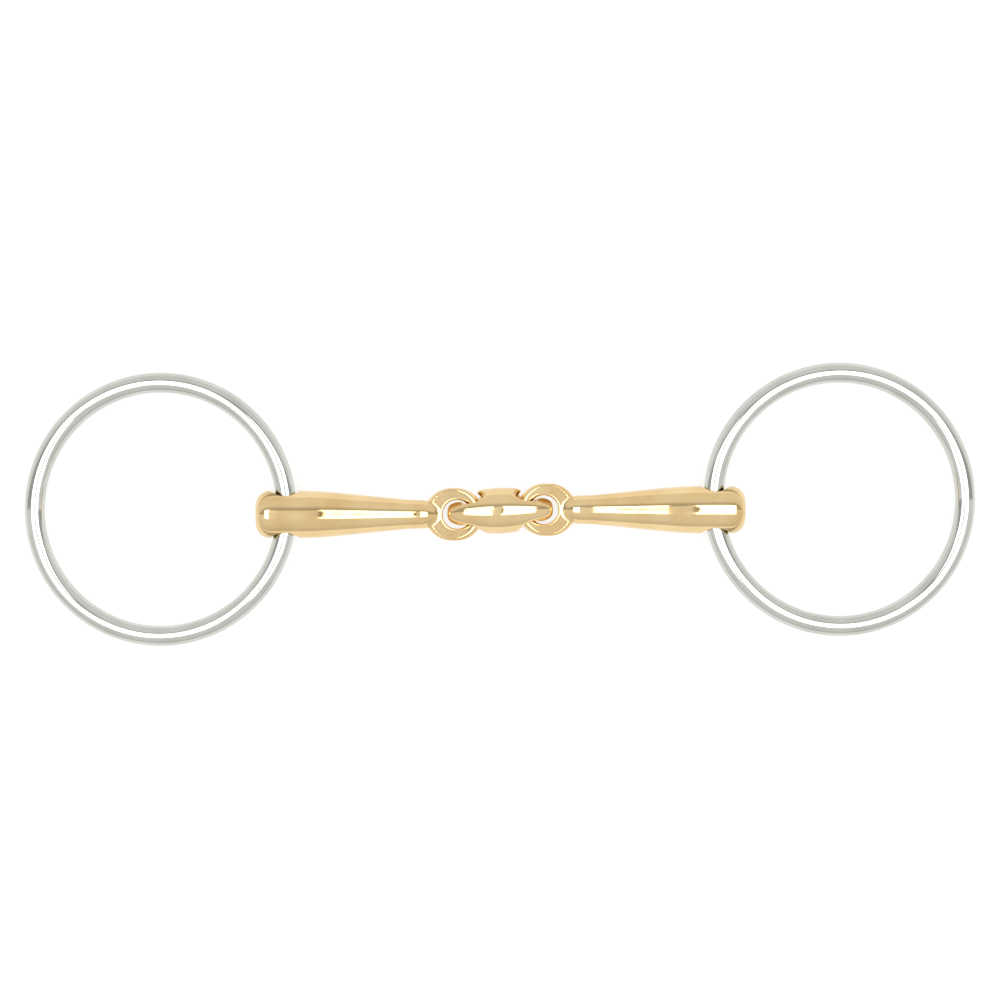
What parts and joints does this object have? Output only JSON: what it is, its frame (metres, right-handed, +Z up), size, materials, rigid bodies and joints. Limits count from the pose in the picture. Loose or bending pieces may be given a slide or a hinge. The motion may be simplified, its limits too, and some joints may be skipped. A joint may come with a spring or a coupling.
{
  "type": "loose ring snaffle bit",
  "caption": "Loose-ring snaffle bit lying flat: two tapered copper-alloy arms jointed by an oval centre link, each arm drilled for a round steel ring.",
  "frame": {"origin": "on the surface the bit lies on, under the middle of its overall box, midway between the centres of the two rings", "axes": "+X along the mouthpiece from the left ring to the right ring, +Z up, +Y across the flat-lying rings"},
  "size_m": [0.2856, 0.085, 0.0144],
  "materials": {
    "ring_steel": "polished",
    "mouthpiece_alloy": "polished"
  },
  "bodies": {
    "centre_link": {"centre_link": "mouthpiece_alloy"},
    "left_arm": {"left_arm": "mouthpiece_alloy"},
    "right_arm": {"right_arm": "mouthpiece_alloy"},
    "left_ring": {"left_ring": "ring_steel"},
    "right_ring": {"right_ring": "ring_steel"}
  },
  "joints": [
    {"name": "left_arm_fold", "type": "hinge", "parent": "centre_link", "child": "left_arm", "pos_m": [-0.00684, -0.003, 0.00597], "axis": [0, 1, 0], "range_deg": [-30, 30]},
    {"name": "right_arm_fold", "type": "hinge", "parent": "centre_link", "child": "right_arm", "pos_m": [0.00714, -0.0016, 0.00597], "axis": [0, 1, 0], "range_deg": [-30, 30]},
    {"name": "left_ring_swing", "type": "hinge", "parent": "left_arm", "child": "left_ring", "pos_m": [-0.0643, -0.003, 0.0072], "axis": [0, 1, 0], "range_deg": [-90, 90]},
    {"name": "right_ring_swing", "type": "hinge", "parent": "right_arm", "child": "right_ring", "pos_m": [0.0646, -0.0016, 0.0072], "axis": [0, 1, 0], "range_deg": [-90, 90]}
  ]
}
